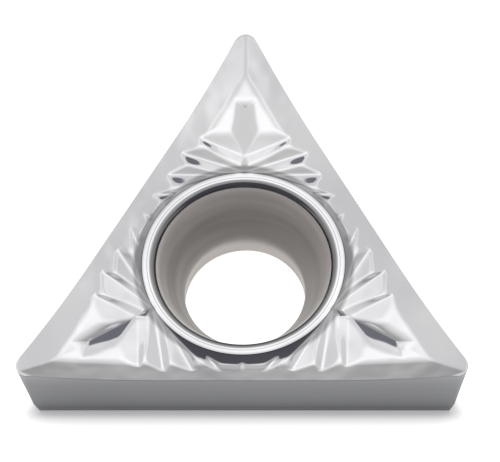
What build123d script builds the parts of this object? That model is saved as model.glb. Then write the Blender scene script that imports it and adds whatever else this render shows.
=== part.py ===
from build123d import *
import os
from math import atan2, cos, degrees, radians, sin, tan

# Carbide turning insert: a ground triangle with clearance flanks and a polished, moulded chipbreaker.
# Millimetres. The screw hole stands on +Z, the seat face lies on Z = 0 and one corner points along +Y.

# Blank
inscribed_circle = 9.525        # circle that the three cutting edges touch in plan
thickness = 3.97                # seat face to the highest point of a corner
clearance_angle = 7.0           # lean of the flanks, degrees
nose_radius = 0.4               # corner radius at the cutting edge

# Cutting edge seen from the side, and the rake ground behind it
edge_low = 3.51                 # height of an edge's middle above the seat face
edge_level_run = 5.6            # straight stretch in the middle of an edge
edge_turn_up_radius = 23.5      # arc that lifts the edge from there to the corner
rake_angle = 26.0               # degrees down from the edge towards the hole
rake_depth = 0.46               # floor of the chip groove below the edge
rake_blend_radius = 0.3         # curve between rake and floor

# Screw hole and the rim round it
hole_diameter = 4.4
hole_straight_length = 1.0      # cylinder above the seat face
countersink_diameter = 6.3
rim_rise = 0.3                  # top of the rim above the floor of the groove
rim_lip_width = 0.27            # rounded inner lip of the rim
rim_lip_drop = 0.11
rim_flat_width = 0.22           # level top between the lip and the outer wall
rim_wall_slope = 40.0           # degrees
rim_wall_blend_radius = 0.25
rim_crown_radius = 0.05

# Middle leaf of the chip-splitting pattern: a gable on each corner's bisector
middle_leaf_root = 3.7          # from the hole's axis, as the two below
middle_leaf_height = 3.38
middle_leaf_slope = 30.0        # degrees, each side of its crest
middle_leaf_crest_end = 6.3
middle_leaf_tip = 6.95
middle_leaf_tip_drop = 0.3

# Side leaves: ridges that fan out from the middle leaf and the rim, each with a steeper flank towards the
# hole. Root and tip are (x, y, height) with the corner along +Y; slopes in degrees: nose side, hole side.
ear_root = (0.0, 4.35, 3.38)
ear_tip = (1.65, 5.2, 3.16)
ear_slopes = (13.0, 34.0)
long_leaf_root = (0.0, 3.7, 3.38)
long_leaf_tip = (2.28, 4.52, 3.25)
long_leaf_slopes = (22.0, 36.0)
short_leaf_root = (0.0, 3.6, 3.3)
short_leaf_tip = (2.76, 3.63, 3.25)
short_leaf_slopes = (22.0, 38.0)
last_leaf_root = (2.1, 3.1, 3.18)
last_leaf_tip = (3.32, 2.8, 3.24)
last_leaf_slopes = (26.0, 38.0)

# Small leaf at the middle of each edge, distances along its own direction from the hole's axis
edge_leaf_root = 3.695
edge_leaf_root_height = 3.16
edge_leaf_tip = 4.27
edge_leaf_tip_height = 3.22
edge_leaf_slope = 36.0

inradius = inscribed_circle / 2
floor_height = edge_low - rake_depth
rim_height = floor_height + rim_rise
rim_radius = countersink_diameter / 2 + rim_lip_width + rim_flat_width
margin = 1.0
corner_turns = (0, 120, 240)


def flank_grind():
    """Stock ground off the front side, so that the flank leans in towards the seat face."""
    lean = tan(radians(clearance_angle))
    section = Polyline(
        (-inradius - margin * lean, thickness + margin),
        (-inradius + (thickness + margin) * lean, -margin),
        (-inradius - margin, -margin),
        (-inradius - margin, thickness + margin),
        close=True,
    )
    return extrude(Plane.YZ * make_face(section), 2 * inscribed_circle, both=True)


def nose_grind():
    """Stock outside the conical nose of the +Y corner. The cone is tangent to both flanks, and its radius
    shrinks towards the seat face as they lean in."""
    lean = tan(radians(clearance_angle))
    cone_height = nose_radius / lean + margin
    apex = (0, 2 * (inradius - nose_radius), thickness + margin - cone_height)
    nose = Cone(0, cone_height * lean, cone_height, align=(Align.CENTER, Align.CENTER, Align.MIN))
    side = (2 * margin * cos(radians(30)), 2 * margin * sin(radians(30)))
    tip = Polyline((0, 0), side, (0, 4 * margin), (-side[0], side[1]), close=True)
    return Pos(*apex) * (extrude(make_face(tip), cone_height) - nose)


def blank():
    """Triangle with leaning flanks and conical noses, one corner along +Y."""
    body = extrude(RegularPolygon(inradius, 3, major_radius=False, rotation=90), thickness)
    for turn in corner_turns:
        body -= Rot(0, 0, turn) * flank_grind()
    for turn in corner_turns:
        body -= Rot(0, 0, turn) * nose_grind()
    return body


def chip_groove():
    """Space above the rake and floor along the front edge, level in the middle and turned up at both ends.
    Its inner side stops at the bisectors of the two corners, where it meets the neighbouring grooves."""
    knee = rake_depth / tan(radians(rake_angle))
    outline = Polyline(
        (-margin, margin * tan(radians(rake_angle))),
        (knee, -rake_depth),
        (inradius, -rake_depth),
        (inradius, 2 * margin),
        (-margin, 2 * margin),
        close=True,
    )
    section = make_face(outline)
    section = fillet(section.vertices().sort_by_distance((knee, -rake_depth))[0], rake_blend_radius)
    half_run = edge_level_run / 2
    at_edge = Plane(origin=(0, -inradius, edge_low), x_dir=(0, 1, 0), z_dir=(1, 0, 0))
    level = extrude(at_edge * section, half_run, both=True)
    turn_axis = Axis((half_run, 0, edge_low + edge_turn_up_radius), (0, -1, 0))
    half_edge = inradius * tan(radians(60)) + margin
    turn_angle = degrees(atan2(half_edge - half_run, edge_turn_up_radius - margin))
    turn_up = revolve(Pos(half_run, 0, 0) * (at_edge * section), turn_axis, turn_angle)
    whole = level + turn_up + mirror(turn_up, about=Plane.YZ)
    reach = inradius + margin
    half_width = reach * tan(radians(60))
    share = Polyline((0, 0), (-half_width, -reach), (half_width, -reach), close=True)
    return whole & extrude(make_face(share), 2 * thickness)


def rim():
    """Raised ring round the hole, with its blended outer wall."""
    wall_foot = rim_radius + rim_rise / tan(radians(rim_wall_slope))
    crown = (rim_radius, rim_height)
    foot = (wall_foot, floor_height)
    outline = Polyline(
        (hole_diameter / 2, floor_height - margin),
        (hole_diameter / 2, rim_height),
        crown,
        foot,
        (wall_foot + margin, floor_height),
        (wall_foot + margin, floor_height - margin),
        close=True,
    )
    section = make_face(outline)
    section = fillet(section.vertices().sort_by_distance(foot)[0], rim_wall_blend_radius)
    section = fillet(section.vertices().sort_by_distance(crown)[0], rim_crown_radius)
    return revolve(Plane.XZ * section, Axis.Z)


def screw_hole():
    """Straight hole, countersink and the rounded lip where the countersink meets the rim."""
    lip_radius = countersink_diameter / 2
    lip_height = rim_height - rim_lip_drop
    rim_start = lip_radius + rim_lip_width
    lines = Polyline(
        (rim_start, rim_height),
        (rim_start, thickness + margin),
        (0, thickness + margin),
        (0, -margin),
        (hole_diameter / 2, -margin),
        (hole_diameter / 2, hole_straight_length),
        (lip_radius, lip_height),
    )
    lip = TangentArc((rim_start, rim_height), (lip_radius, lip_height), tangent=(-1, 0))
    return revolve(Plane.XZ * make_face(lines + lip), Axis.Z)


def middle_leaf():
    """Gabled leaf on the corner's bisector: a level crest that dips at its tip."""
    spread = inradius
    low = middle_leaf_height - spread * tan(radians(middle_leaf_slope))
    gable = Polyline((-spread, low), (0, middle_leaf_height), (spread, low), close=True)
    roof = extrude(Plane.XZ * make_face(gable), -middle_leaf_tip)
    side = Polyline(
        (middle_leaf_root - margin, low),
        (middle_leaf_root - margin, middle_leaf_height),
        (middle_leaf_crest_end, middle_leaf_height),
        (middle_leaf_tip, middle_leaf_height - middle_leaf_tip_drop),
        (middle_leaf_tip, low),
        close=True,
    )
    side_plane = Plane(origin=(0, 0, 0), x_dir=(0, 1, 0), z_dir=(1, 0, 0))
    return roof & extrude(side_plane * make_face(side), spread, both=True)


def ridge(root, tip, nose_slope, hole_slope):
    """Straight ridge from root to tip, with a plane flank on each side."""
    run = Vector(*tip) - Vector(*root)
    spread = 2 * margin
    depth = root[2] - floor_height + spread
    section = Polyline(
        (0, 0),
        (spread, -spread * tan(radians(nose_slope))),
        (spread, -depth),
        (-spread, -depth),
        (-spread, -spread * tan(radians(hole_slope))),
        close=True,
    )
    level_run = Vector(run.X, run.Y, 0)
    across = Vector(0, 0, 1).cross(level_run)
    at_root = Plane(origin=root, x_dir=across, z_dir=level_run)
    return extrude(at_root * make_face(section), run.length, dir=run)


def half_palm():
    """Side leaves to the right of a corner's bisector."""
    leaves = ridge(ear_root, ear_tip, *ear_slopes)
    leaves += ridge(long_leaf_root, long_leaf_tip, *long_leaf_slopes)
    leaves += ridge(short_leaf_root, short_leaf_tip, *short_leaf_slopes)
    leaves += ridge(last_leaf_root, last_leaf_tip, *last_leaf_slopes)
    reach = 2 * inscribed_circle
    return leaves & Box(reach, reach, reach, align=(Align.MIN, Align.CENTER, Align.CENTER))


def edge_leaf():
    """Small leaf that runs down the rim's wall towards the middle of the right-hand edge."""
    outwards = (cos(radians(30)), sin(radians(30)))
    root = (edge_leaf_root * outwards[0], edge_leaf_root * outwards[1], edge_leaf_root_height)
    tip = (edge_leaf_tip * outwards[0], edge_leaf_tip * outwards[1], edge_leaf_tip_height)
    return ridge(root, tip, edge_leaf_slope, edge_leaf_slope)


def insert_body():
    """The whole insert, one sintered and ground piece."""
    triangle = blank()
    groove = chip_groove()
    body = triangle
    for turn in corner_turns:
        body -= Rot(0, 0, turn) * groove
    body += rim()
    right_half = half_palm()
    palm = middle_leaf() + right_half + mirror(right_half, about=Plane.YZ) + edge_leaf()
    for turn in corner_turns:
        body += Rot(0, 0, turn) * palm
    return (body & triangle) - screw_hole()


os.makedirs("parts", exist_ok=True)
export_step(insert_body(), "parts/insert_body.step")
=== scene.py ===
from math import cos, radians, sin, sqrt, tan

import bmesh
import bpy
import numpy as np
from mathutils import Matrix, Vector


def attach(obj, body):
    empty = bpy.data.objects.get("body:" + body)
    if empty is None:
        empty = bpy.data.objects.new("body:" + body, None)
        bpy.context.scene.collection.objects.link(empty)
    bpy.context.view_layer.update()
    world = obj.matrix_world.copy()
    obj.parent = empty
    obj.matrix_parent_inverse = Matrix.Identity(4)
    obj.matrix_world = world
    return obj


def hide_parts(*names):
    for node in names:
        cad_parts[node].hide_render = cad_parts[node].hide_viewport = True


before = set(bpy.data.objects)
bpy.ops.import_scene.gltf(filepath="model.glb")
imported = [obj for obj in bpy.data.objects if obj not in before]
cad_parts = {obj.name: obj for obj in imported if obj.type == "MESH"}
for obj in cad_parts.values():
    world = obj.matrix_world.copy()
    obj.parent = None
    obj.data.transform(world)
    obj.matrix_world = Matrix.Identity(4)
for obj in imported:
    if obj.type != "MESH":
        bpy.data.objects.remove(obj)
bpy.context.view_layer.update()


MM = 0.001                       # metres in a millimetre

# Sizes that it shares with the solid, in millimetres. Each corner is worked out with its tip along +Y
INRADIUS = 9.525 / 2             # hole's axis to a cutting edge
THICKNESS = 3.97                 # seat to the highest point of a corner
CLEARANCE = radians(7.0)         # lean of the flanks
NOSE_RADIUS = 0.4
EDGE_LOW = 3.51                  # height of an edge's middle
EDGE_HALF_RUN = 2.8              # half of the straight stretch there
EDGE_TURN_UP = 23.5              # radius that lifts the edge towards the corner
RAKE = radians(26.0)
RAKE_DEPTH = 0.46                # floor of the groove below the edge
HOLE_RADIUS = 2.2
HOLE_STRAIGHT = 1.0
LIP_RADIUS = 3.15                # inner border of the rim's rounded lip
LIP_WIDTH = 0.27
RIM_FLAT = 0.22
RIM_RISE = 0.3                   # rim above the groove's floor
RIM_WALL = radians(40.0)
RIM_WALL_BLEND = 0.25
LEAF_ROOT = 3.7                  # middle leaf, from the hole's axis, like the end of its crest and its tip
LEAF_ROOT_OVERLAP = 1.0          # its run under the rim
LEAF_HEIGHT = 3.38
LEAF_CREST_END = 6.3
LEAF_TIP = 6.95
LEAF_TIP_DROP = 0.3

# Finish of those forms, in millimetres: a wider bend, a fuller lip, a steeper leaf and small roundings
RAKE_BLEND = 0.8
LIP_DROP = 0.19
LEAF_SLOPE = radians(31.0)
CREASE_SOFTNESS = 0.06
LEAF_SOFTNESS = 0.14
RIDGE_ROUNDING = 0.04
VALLEY_WIDTH = 0.15              # rounding where two grooves meet at a corner
EDGE_BAND = 0.13                 # height of the darker band under the cutting edge

# Ridges to the right of a corner's bisector, and one at the middle of the edge. Each has its start and end
# as (x, y, height), the slope of its nose side, and the slopes of its hole side at the start and at the end
RIDGES = {
    "ear": ((0.0, 4.35, 3.38), (1.65, 5.2, 3.16), 13, (14, 54)),
    "long leaf": ((0.0, 3.7, 3.38), (2.28, 4.52, 3.25), 22, (16, 48)),
    "short leaf": ((0.0, 3.6, 3.3), (2.76, 3.63, 3.25), 22, (18, 35)),
    "last leaf": ((2.4, 2.92, 3.17), (3.32, 2.8, 3.24), 34, (34, 42)),
    "edge leaf": ((3.29, 1.9, 3.16), (3.7, 2.136, 3.21), 38, (38, 38)),
}
RIDGE_STEEPENING = 3             # the hole side steepens with this power of the share of the way along

FLOOR_HEIGHT = EDGE_LOW - RAKE_DEPTH
RIM_HEIGHT = FLOOR_HEIGHT + RIM_RISE
RIM_RADIUS = LIP_RADIUS + LIP_WIDTH + RIM_FLAT
FLANK_DIRECTIONS = (-90, 30, 150)
CORNER_DIRECTIONS = (90, 210, 330)

# Points of the mesh
POINTS_PER_NOSE = 24
POINTS_PER_EDGE = 190
POINTS_PER_SIDE = POINTS_PER_NOSE + POINTS_PER_EDGE
HOLE_STEPS = 3
CONE_STEPS = 12
LIP_STEPS = 8
TOP_STEPS = 110
FLANK_STEPS = 10
EDGE_PASSES = 6                  # the edge's height and outline settle on each other in these
BELOW_ALL = -1.0                 # height given to a leaf outside its own stretch
INSIDE_BOX = 0.9998              # scale in plan that keeps the mesh inside the solid's box
WELD_DISTANCE = 1e-8             # metres: joins the points of a nose where its radius has run out

# Finishes, in the order of the insert's materials, and the part of the surface that has each
POLISHED, SINTERED, GROUND, EDGE_GROUND = range(4)
FINISHES = {
    "hole": SINTERED, "cone": SINTERED, "lip": POLISHED, "rim": POLISHED, "top": POLISHED,
    "edge": EDGE_GROUND, "flank": GROUND, "seat": GROUND,
}

# Tones of the finishes as (place, tone), which hold painted shade and painted light. The ring's places are
# distances from the hole's axis and the others are heights above the seat, in millimetres
# Painted shade on the polished rim: dark bands at the lip's inner border and on the rim's outer wall, and
# dark lines on the rim's flat and at its outer edge
RING_PAINTED_SHADE_TONES = (
    (3.10, 0.1), (3.17, 0.12), (3.185, 0.28), (3.28, 0.36), (3.38, 0.55), (3.395, 1.0),
    (3.455, 1.0), (3.459, 0.4), (3.472, 0.4), (3.476, 1.0), (3.635, 1.0), (3.64, 0.2),
    (3.66, 0.2), (3.67, 0.45), (3.9, 0.5), (4.02, 1.0),
)
# Painted light on the hole's wall: lighter at its foot and near its top
HOLE_PAINTED_LIGHT_TONES = ((0, 1.0), (0.5, 0.93), (1.1, 0.55), (2.2, 0.48), (2.7, 0.74), (3.1, 1.0), (3.25, 0.85))
# Painted shade and painted highlight on the flank: a dark line at the seat, a light line just above it, and
# lighter towards the top
FLANK_PAINTED_LIGHT_TONES = (
    (0.0, 0.09), (0.05, 0.11), (0.09, 0.31), (0.18, 0.31), (0.25, 0.208), (1.1, 0.198),
    (2.2, 0.202), (3.0, 0.22), (3.5, 0.25), (4.0, 0.33),
)
EDGE_TONES = ((0.0, 0.17), (3.4, 0.17), (4.0, 0.25))
LAND_START = 3.955               # painted shade on the level lands at the corners starts at this height
LAND_PAINTED_SHADE = 0.75                 # share of their brightness that the painted shade leaves at the top

# Grain of the finishes. Heights are in metres, and scales are by the metre
CLOUD_SCALE = 260.0
CLOUD_RANGE = (0.35, 0.62)
CLOUD_TINTS = ((0.86, 0.86, 0.885, 1), (0.985, 0.985, 1.0, 1))
CLOUD_ROUGHNESS = (0.06, 0.12)
WAVE_SCALE = 900.0
WAVE_HEIGHT = 0.00004            # unevenness left by lapping, seen in the reflections
BAND_SCALE = (160.0, 160.0, 1500.0)
BAND_RANGE = (0.36, 0.62)
BAND_TINTS = ((0.78, 0.735, 0.70, 1), (1.0, 0.96, 0.92, 1))
PORE_SCALE = 9000.0
PORE_HEIGHT = 0.00001
LINE_SCALE = (60.0, 60.0, 12000.0)
LINE_TINTS = ((0.9, 0.91, 0.94, 1), (1.03, 1.04, 1.08, 1))
LINE_HEIGHT = 0.000004

# White tent: brightness by elevation in degrees behind the insert and at its sides, which share the tent by
# how far sideways a direction points. The forward reach of a direction is its y plus TENT_RISE times its z:
# it grows from the camera's place over the top to the back
BACK_LEVELS = ((0, 0.39), (11, 0.47), (16, 0.5), (30, 0.64), (45, 0.8), (60, 1.0), (90, 1.0))
SIDE_LEVELS = ((0, 0.42), (20, 0.62), (40, 0.64), (50, 0.64), (57, 0.85), (63, 1.0), (90, 1.0))
SIDE_SPREAD = (0.3, 0.62)
TENT_RISE = 1.1
OVERHEAD_LEVELS = ((0.0, 0.66), (1.0, 0.68), (1.15, 0.74), (1.3, 0.95), (1.36, 1.0), (1.5, 1.0))
DARK_EDGE = (0.5, 0.57)          # forward reach over which the dark place of the camera ends
DARK_SIDES = (0.8, 0.94)         # the same sideways
DARK_LEVEL = 0.155
DARK_COLOUR = (DARK_LEVEL, DARK_LEVEL, DARK_LEVEL * 1.15, 1)

# Table
TABLE_HALF = 0.6                 # metres
TABLE_PAINT = 0.95
TABLE_GLOW = 0.8
# Share of the glow by millimetres outside the seat's outline: it leaves a narrow contact shadow
CONTACT_TONES = ((-2.0, 1.0), (-1.0, 0.28), (0.0, 0.28), (0.15, 0.33), (0.37, 0.69), (0.65, 1.0))
CORNER_FADE = (8.4, 9.3)         # from the hole's axis, where that shadow ends past the corners

# Camera: its place and turn, found from the photograph's outline. Lengths are in millimetres
CAMERA_YAW = radians(2.9337)
CAMERA_ELEVATION = radians(62.5907)
CAMERA_ROLL = radians(-2.665)
CAMERA_DISTANCE = 133.73
CAMERA_OFFSET = (0.1654, 2.6761)
CAMERA_FOCAL_PIXELS = 3650.6
CAMERA_CLIP_START = 0.001        # metres
PHOTO_WIDTH = 500                # pixels
SENSOR_WIDTH = 36.0


def blend_max(a, b, softness=CREASE_SOFTNESS):
    """The higher of two surfaces, with a small fillet where they cross."""
    near = np.clip(softness - np.abs(a - b), 0, None) / softness
    return np.maximum(a, b) + near * near * softness / 4


def concave_bend(run, start_height, slope, drop, radius):
    """Height along a slope that ends in an arc and a level floor, drop below the start."""
    knee = drop / tan(slope)
    tangent = radius * tan(slope / 2)
    bend_start = knee - tangent * cos(slope)
    bend_end = knee + tangent
    arc = radius - np.sqrt(np.clip(radius**2 - (bend_end - run) ** 2, 0, None)) - drop
    height = np.where(run < bend_start, -run * tan(slope), np.where(run < bend_end, arc, -drop))
    return start_height + height


def groove_height(x, y):
    """Rake and floor of the groove along the nearest cutting edge, with a rounded valley at the corners."""
    distance = np.full(x.shape, 2 * INRADIUS)
    along = np.zeros(x.shape)
    for facing in FLANK_DIRECTIONS:
        c, s = cos(radians(facing)), sin(radians(facing))
        here = INRADIUS - (x * c + y * s)
        along = np.where(here < distance, y * c - x * s, along)
        distance = -blend_max(-here, -distance, VALLEY_WIDTH)
    drop = concave_bend(distance, 0.0, RAKE, RAKE_DEPTH, RAKE_BLEND)
    past_run = np.clip(np.abs(along) - EDGE_HALF_RUN, 0, None)
    height = EDGE_LOW + EDGE_TURN_UP - np.sqrt((EDGE_TURN_UP - drop) ** 2 - past_run**2)
    return np.minimum(height, THICKNESS)


def middle_leaf_height(x, y):
    """Gable along the corner's bisector, with a crest that dips at its tip. It starts under the rim."""
    crest = LEAF_HEIGHT - np.abs(x) * tan(LEAF_SLOPE)
    dip = LEAF_HEIGHT - (y - LEAF_CREST_END) * LEAF_TIP_DROP / (LEAF_TIP - LEAF_CREST_END)
    height = np.where(y < LEAF_CREST_END, crest, np.minimum(crest, dip))
    return np.where((y > LEAF_ROOT - LEAF_ROOT_OVERLAP) & (y < LEAF_TIP), height, BELOW_ALL)


def ridge_height(x, y, start, end, nose_slope, hole_slopes):
    """Gabled ridge from the start to the end. Its side towards the hole steepens near the end."""
    run_x, run_y = end[0] - start[0], end[1] - start[1]
    length = sqrt(run_x**2 + run_y**2)
    along = ((x - start[0]) * run_x + (y - start[1]) * run_y) / length
    beside = ((y - start[1]) * run_x - (x - start[0]) * run_y) / length
    share = np.clip(along / length, 0, 1) ** RIDGE_STEEPENING
    steepness = tan(radians(hole_slopes[0])) * (1 - share) + tan(radians(hole_slopes[1])) * share
    apart = np.sqrt(beside**2 + RIDGE_ROUNDING**2) - RIDGE_ROUNDING
    fall = apart * np.where(beside > 0, tan(radians(nose_slope)), steepness)
    height = start[2] + (end[2] - start[2]) * along / length - fall
    return np.where((along > 0) & (along < length), height, BELOW_ALL)


def rim_wall_height(radius):
    """Outer wall of the rim and the bend at its foot."""
    return concave_bend(radius - RIM_RADIUS, RIM_HEIGHT, RIM_WALL, RIM_RISE, RIM_WALL_BLEND)


def top_height(x, y):
    """Height of the moulded top outside the rim. Each third is turned so that its corner is along +Y."""
    down, right, left = FLANK_DIRECTIONS
    angle = np.degrees(np.arctan2(y, x))
    left_third = (angle > left) | (angle <= down)
    right_third = (angle > down) & (angle <= right)
    turn = np.select([left_third, right_third], [-120.0, 120.0], 0.0)
    c, s = np.cos(np.radians(turn)), np.sin(np.radians(turn))
    across = np.abs(x * c - y * s)
    outward = x * s + y * c
    height = blend_max(groove_height(x, y), middle_leaf_height(across, outward), LEAF_SOFTNESS)
    for ridge in RIDGES.values():
        height = blend_max(height, ridge_height(across, outward, *ridge))
    return blend_max(height, rim_wall_height(np.hypot(x, y)))


def outline(height):
    """Points round the flanks at the given heights: three noses, each followed by a straight edge."""
    inset = (THICKNESS - height) * tan(CLEARANCE)
    nose_radius = np.maximum(NOSE_RADIUS - inset, 0.0)
    nose_centre = np.minimum(2 * (INRADIUS - NOSE_RADIUS), 2 * (INRADIUS - inset))
    x, y = [], []
    for k, corner in enumerate(CORNER_DIRECTIONS):
        part = slice(k * POINTS_PER_SIDE, (k + 1) * POINTS_PER_SIDE)
        radius, reach = nose_radius[part], nose_centre[part]
        point = np.arange(POINTS_PER_SIDE)
        turned = np.radians(corner - 60 + 120 * np.minimum(point / POINTS_PER_NOSE, 1))
        share = np.clip(point - POINTS_PER_NOSE, 0, None) / POINTS_PER_EDGE
        here, there = radians(corner), radians(corner + 120)
        x.append(reach * ((1 - share) * cos(here) + share * cos(there)) + radius * np.cos(turned))
        y.append(reach * ((1 - share) * sin(here) + share * sin(there)) + radius * np.sin(turned))
    return np.concatenate(x), np.concatenate(y)


def edge_height():
    """Height of the cutting edge at each point of the outline."""
    height = np.full(3 * POINTS_PER_SIDE, THICKNESS)
    for _ in range(EDGE_PASSES):
        height = top_height(*outline(height))
    return height


def insert_rings():
    """Closed rings of points, from the hole's foot over the rim and the top and down the flanks, and the
    part of the surface that ends at each ring."""
    edge = edge_height()
    edge_x, edge_y = outline(edge)
    length = np.hypot(edge_x, edge_y)
    ux, uy = edge_x / length, edge_y / length
    rings, parts = [], []

    def add_ring(x, y, height, part):
        rings.append((x, y, height))
        parts.append(part)

    def add_circle(radius, height, part):
        add_ring(ux * radius, uy * radius, np.full(len(ux), height), part)

    for step in range(HOLE_STEPS + 1):
        add_circle(HOLE_RADIUS, HOLE_STRAIGHT * step / HOLE_STEPS, "hole")
    lip_height = RIM_HEIGHT - LIP_DROP
    for step in range(1, CONE_STEPS + 1):
        share = step / CONE_STEPS
        height = HOLE_STRAIGHT + (lip_height - HOLE_STRAIGHT) * share
        add_circle(HOLE_RADIUS + (LIP_RADIUS - HOLE_RADIUS) * share, height, "cone")
    lip_curve = (LIP_WIDTH**2 + LIP_DROP**2) / (2 * LIP_DROP)
    for step in range(1, LIP_STEPS + 1):
        run = LIP_WIDTH * step / LIP_STEPS
        height = RIM_HEIGHT - lip_curve + sqrt(lip_curve**2 - (LIP_WIDTH - run) ** 2)
        add_circle(LIP_RADIUS + run, height, "lip")
    add_circle(LIP_RADIUS + LIP_WIDTH + RIM_FLAT / 2, RIM_HEIGHT, "rim")
    add_circle(RIM_RADIUS, RIM_HEIGHT, "top")
    for step in range(1, TOP_STEPS):
        radius = RIM_RADIUS + (length - RIM_RADIUS) * (step / TOP_STEPS)
        x, y = ux * radius, uy * radius
        add_ring(x, y, top_height(x, y), "top")
    add_ring(edge_x, edge_y, edge, "top")
    for step in range(FLANK_STEPS + 1):
        height = (edge - EDGE_BAND) * (1 - step / FLANK_STEPS)
        add_ring(*outline(height), height, "flank" if step else "edge")
    return np.array(rings).transpose(0, 2, 1), parts


def sharp_edges(mesh, points, parts):
    """Which edges are sharp: some borders between parts of the surface, and the middle leaves' crests."""
    last_ring = {part: ring for ring, part in enumerate(parts)}
    borders = [0] + [last_ring[part] for part in ("cone", "lip", "top", "flank")]
    ends = np.zeros(len(mesh.edges) * 2, int)
    mesh.edges.foreach_get("vertices", ends)
    start, end = ends.reshape(-1, 2).T
    round_count = points.shape[1]
    ring, column = start // round_count, start % round_count
    along_ring = ring == end // round_count
    reach = np.hypot(*points.reshape(-1, 3)[start, :2].T)
    on_bisector = column % POINTS_PER_SIDE == POINTS_PER_NOSE // 2
    on_crest = (np.array(parts)[ring] == "top") & (reach > RIM_RADIUS) & (reach < LEAF_CREST_END)
    return np.where(along_ring, np.isin(ring, borders), on_bisector & on_crest)


def weld(mesh):
    """Join points that lie in one place, and drop the faces that have closed up there."""
    welded = bmesh.new()
    welded.from_mesh(mesh)
    bmesh.ops.remove_doubles(welded, verts=welded.verts, dist=WELD_DISTANCE)
    welded.to_mesh(mesh)
    welded.free()
    mesh.validate()
    mesh.update()


def insert_mesh():
    """Mesh of the whole insert, with the finish of each face and its sharp edges."""
    points, parts = insert_rings()
    ring_count, round_count = points.shape[:2]
    first = np.arange(ring_count)[:, None] * round_count + np.arange(round_count)
    following = np.roll(first, -1, axis=1)
    outer = np.roll(first, -1, axis=0)
    outer_following = np.roll(following, -1, axis=0)
    quads = np.stack((first, outer, outer_following, following), axis=-1).reshape(-1, 4)
    vertices = points.reshape(-1, 3) * (INSIDE_BOX * MM, INSIDE_BOX * MM, MM)
    mesh = bpy.data.meshes.new("insert")
    mesh.from_pydata(vertices.tolist(), [], quads.tolist())
    ring_finishes = [FINISHES[part] for part in parts[1:] + ["seat"]]
    mesh.polygons.foreach_set("material_index", np.repeat(ring_finishes, round_count))
    mesh.polygons.foreach_set("use_smooth", np.ones(len(quads), bool))
    sharp = mesh.attributes.new("sharp_edge", "BOOLEAN", "EDGE")
    sharp.data.foreach_set("value", sharp_edges(mesh, points, parts))
    weld(mesh)
    return mesh


class Nodes:
    """Short calls that build the node tree of a material or a world."""

    def __init__(self, owner):
        owner.use_nodes = True
        self.tree = owner.node_tree

    def fill(self, node, inputs):
        """Give each input its value, or link it to the socket that is given instead."""
        for name, value in inputs.items():
            if isinstance(value, bpy.types.NodeSocket):
                self.tree.links.new(value, node.inputs[name])
            else:
                node.inputs[name].default_value = value

    def add(self, kind, inputs, **settings):
        """New node. Its settings come first, since they decide which inputs it has."""
        node = self.tree.nodes.new(kind)
        for name, value in settings.items():
            setattr(node, name, value)
        self.fill(node, inputs)
        return node

    def place(self, kind):
        return self.add("ShaderNodeTexCoord", {}).outputs[kind]

    def split(self, vector):
        return self.add("ShaderNodeSeparateXYZ", {"Vector": vector}).outputs

    def height(self, place):
        return self.split(place)["Z"]

    def stretched(self, place, scale):
        return self.add("ShaderNodeMapping", {"Vector": place, "Scale": scale}).outputs["Vector"]

    def noise(self, place, scale, detail):
        inputs = {"Vector": place, "Scale": scale, "Detail": detail}
        return self.add("ShaderNodeTexNoise", inputs).outputs["Fac"]

    def math(self, operation, *values):
        return self.add("ShaderNodeMath", dict(enumerate(values)), operation=operation).outputs["Value"]

    def vector_math(self, operation, output, *values):
        node = self.add("ShaderNodeVectorMath", dict(enumerate(values)), operation=operation)
        return node.outputs[output]

    def spread(self, value, start, end, low=0.0, high=1.0, kind="LINEAR"):
        """The value's place between start and end, carried over to low and high and held at both."""
        inputs = {"Value": value, "From Min": start, "From Max": end, "To Min": low, "To Max": high}
        return self.add("ShaderNodeMapRange", inputs, interpolation_type=kind).outputs["Result"]

    def tone(self, value, tones, unit=1.0):
        """Grey tone for the value, by (place, tone) pairs with the places in the given unit."""
        start, end = tones[0][0], tones[-1][0]
        share = self.spread(value, start * unit, end * unit)
        ramp = self.add("ShaderNodeValToRGB", {"Fac": share})
        elements = ramp.color_ramp.elements
        while len(elements) < len(tones):
            elements.new(0.5)
        for element, (place, tone) in zip(elements, tones):
            element.position = (place - start) / (end - start)
            element.color = (tone, tone, tone, 1)
        return ramp.outputs["Color"]

    def mixed(self, share, a, b, kind="MIX"):
        inputs = {"Factor": share, "A": a, "B": b}
        return self.add("ShaderNodeMix", inputs, data_type="RGBA", blend_type=kind).outputs["Result"]

    def multiplied(self, a, b):
        return self.mixed(1.0, a, b, kind="MULTIPLY")

    def bump(self, height, distance, strength):
        inputs = {"Height": height, "Distance": distance, "Strength": strength}
        return self.add("ShaderNodeBump", inputs).outputs["Normal"]


def carbide(name):
    """Material with a metal's shader, and the calls for its nodes."""
    material = bpy.data.materials.new(name)
    nodes = Nodes(material)
    return material, nodes, nodes.tree.nodes["Principled BSDF"]


def polished_carbide():
    """Lapped, mirror-like top: bright grey metal in faint cloudy patches, with painted shade in rings round
    the hole.
    """
    material, nodes, shader = carbide("polished_carbide")
    place = nodes.place("Object")
    cloud = nodes.noise(place, CLOUD_SCALE, detail=3.0)
    tint = nodes.mixed(nodes.spread(cloud, *CLOUD_RANGE), *CLOUD_TINTS)
    in_plan = nodes.vector_math("MULTIPLY", "Vector", place, (1, 1, 0))
    # Painted shade: dark lines and bands in rings round the hole
    ring = nodes.tone(nodes.vector_math("LENGTH", "Value", in_plan), RING_PAINTED_SHADE_TONES, MM)
    # Painted shade on the level lands at the corners, in place of their bright reflection
    land_shade = nodes.spread(nodes.height(place), LAND_START * MM, THICKNESS * MM, low=1.0, high=LAND_PAINTED_SHADE)
    waves = nodes.noise(place, WAVE_SCALE, detail=1.0)
    nodes.fill(shader, {
        "Metallic": 1.0,
        "Base Color": nodes.multiplied(nodes.multiplied(tint, ring), land_shade),
        "Roughness": nodes.spread(cloud, 0.0, 1.0, *CLOUD_ROUGHNESS),
        "Normal": nodes.bump(waves, WAVE_HEIGHT, strength=1.0),
    })
    return material


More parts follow.
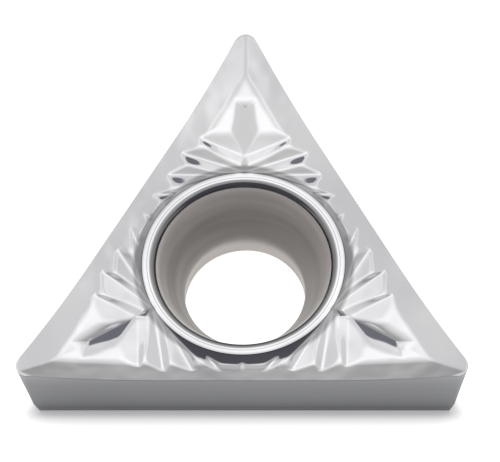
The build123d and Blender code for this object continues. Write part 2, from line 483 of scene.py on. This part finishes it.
def sintered_carbide():
    """Matte, warm grey wall of the hole, left as it came from the furnace, in soft level bands. Painted
    light makes it lighter at its foot and near its top.
    """
    material, nodes, shader = carbide("sintered_carbide")
    place = nodes.place("Object")
    bands = nodes.noise(nodes.stretched(place, BAND_SCALE), 1.0, detail=2.0)
    tint = nodes.mixed(nodes.spread(bands, *BAND_RANGE), *BAND_TINTS)
    pores = nodes.noise(place, PORE_SCALE, detail=3.0)
    nodes.fill(shader, {
        "Metallic": 0.3,
        # Painted light: lighter at the wall's foot, where it fades into the white floor, and near its top
        "Base Color": nodes.multiplied(nodes.tone(nodes.height(place), HOLE_PAINTED_LIGHT_TONES, MM), tint),
        "Roughness": 0.55,
        "Normal": nodes.bump(pores, PORE_HEIGHT, strength=0.25),
    })
    return material


def ground_carbide(name, tones):
    """Flank ground along the edge: satin grey with fine level lines."""
    material, nodes, shader = carbide(name)
    place = nodes.place("Object")
    lines = nodes.noise(nodes.stretched(place, LINE_SCALE), 1.0, detail=3.0)
    tint = nodes.mixed(lines, *LINE_TINTS)
    nodes.fill(shader, {
        "Metallic": 0.9,
        # On the flank, the tones by height paint a shade line and a highlight line at the seat
        "Base Color": nodes.multiplied(nodes.tone(nodes.height(place), tones, MM), tint),
        "Roughness": 0.42,
        "Normal": nodes.bump(lines, LINE_HEIGHT, strength=0.3),
    })
    return material


def build_insert():
    insert = bpy.data.objects.new("insert", insert_mesh())
    bpy.context.scene.collection.objects.link(insert)
    insert.data.materials.append(polished_carbide())
    insert.data.materials.append(sintered_carbide())
    insert.data.materials.append(ground_carbide("ground_carbide", FLANK_PAINTED_LIGHT_TONES))
    insert.data.materials.append(ground_carbide("edge_band", EDGE_TONES))
    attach(insert, "root")
    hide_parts("insert_body")


def white_table():
    """White paint with a glow for the camera and for reflections, which is weaker close to the insert."""
    material = bpy.data.materials.new("white_table")
    nodes = Nodes(material)
    nodes.tree.nodes.remove(nodes.tree.nodes["Principled BSDF"])
    place = nodes.place("Object")
    distances = []
    for facing in FLANK_DIRECTIONS:
        direction = (cos(radians(facing)), sin(radians(facing)), 0)
        distances.append(nodes.vector_math("DOT_PRODUCT", "Value", place, direction))
    farthest = nodes.math("MAXIMUM", nodes.math("MAXIMUM", distances[0], distances[1]), distances[2])
    foot = INRADIUS - THICKNESS * tan(CLEARANCE)
    contact = nodes.tone(farthest, [(foot + outside, tone) for outside, tone in CONTACT_TONES], MM)
    from_axis = nodes.vector_math("LENGTH", "Value", place)
    past_corner = nodes.spread(from_axis, CORNER_FADE[0] * MM, CORNER_FADE[1] * MM)
    path = nodes.add("ShaderNodeLightPath", {}).outputs
    seen = nodes.math("MAXIMUM", path["Is Camera Ray"], path["Is Glossy Ray"])
    glow = nodes.add("ShaderNodeEmission", {
        "Color": nodes.math("MAXIMUM", contact, past_corner),
        "Strength": nodes.math("MULTIPLY", seen, TABLE_GLOW),
    })
    paint = nodes.add("ShaderNodeBsdfDiffuse", {"Color": (TABLE_PAINT, TABLE_PAINT, TABLE_PAINT, 1)})
    both = nodes.add("ShaderNodeAddShader", {0: paint.outputs["BSDF"], 1: glow.outputs["Emission"]})
    nodes.fill(nodes.tree.nodes["Material Output"], {"Surface": both.outputs["Shader"]})
    return material


def build_floor():
    """Plain table, wide enough for every view. It keeps the insert's soft shadow."""
    corners = [(x * TABLE_HALF, y * TABLE_HALF, 0) for x, y in ((-1, -1), (1, -1), (1, 1), (-1, 1))]
    mesh = bpy.data.meshes.new("floor")
    mesh.from_pydata(corners, [], [range(len(corners))])
    mesh.materials.append(white_table())
    floor = bpy.data.objects.new("floor", mesh)
    bpy.context.scene.collection.objects.link(floor)


def by_elevation(levels):
    """The levels' tones by the sine of their elevation, which is the z of a direction."""
    return [(sin(radians(elevation)), level) for elevation, level in levels]


def build_light():
    """White tent round the table: brightest at the back, greyer low down, dark where the camera stands."""
    world = bpy.data.worlds.new("tent")
    bpy.context.scene.world = world
    nodes = Nodes(world)
    x, y, z = nodes.split(nodes.place("Generated"))
    sideways = nodes.math("ABSOLUTE", x)
    forward = nodes.math("MULTIPLY_ADD", z, TENT_RISE, y)
    back = nodes.multiplied(nodes.tone(z, by_elevation(BACK_LEVELS)), nodes.tone(forward, OVERHEAD_LEVELS))
    side = nodes.tone(z, by_elevation(SIDE_LEVELS))
    tent = nodes.mixed(nodes.spread(sideways, *SIDE_SPREAD, kind="SMOOTHSTEP"), back, side)
    past_edge = nodes.spread(forward, *DARK_EDGE, kind="SMOOTHSTEP")
    past_sides = nodes.spread(sideways, *DARK_SIDES, kind="SMOOTHSTEP")
    shade = nodes.mixed(nodes.math("MAXIMUM", past_edge, past_sides), DARK_COLOUR, tent)
    nodes.fill(nodes.tree.nodes["Background"], {"Color": shade})


def build_camera():
    """Camera found from the photograph: its own axes, place and focal length."""
    yaw, lift, roll = CAMERA_YAW, CAMERA_ELEVATION, CAMERA_ROLL
    back = Vector((sin(yaw) * cos(lift), -cos(yaw) * cos(lift), sin(lift)))
    level_right = Vector((cos(yaw), sin(yaw), 0))
    level_up = back.cross(level_right)
    right = cos(roll) * level_right + sin(roll) * level_up
    up = -sin(roll) * level_right + cos(roll) * level_up
    camera = bpy.data.objects.new("camera", bpy.data.cameras.new("camera"))
    bpy.context.scene.collection.objects.link(camera)
    turn = Matrix((right, up, back)).transposed().to_4x4()
    place = (right * CAMERA_OFFSET[0] + up * CAMERA_OFFSET[1] + back * CAMERA_DISTANCE) * MM
    camera.matrix_world = Matrix.Translation(place) @ turn
    camera.data.sensor_width = SENSOR_WIDTH
    camera.data.lens = CAMERA_FOCAL_PIXELS / PHOTO_WIDTH * SENSOR_WIDTH
    camera.data.clip_start = CAMERA_CLIP_START
    bpy.context.scene.camera = camera


build_insert()
build_floor()
build_light()
build_camera()
bpy.context.scene.view_settings.view_transform = "Standard"
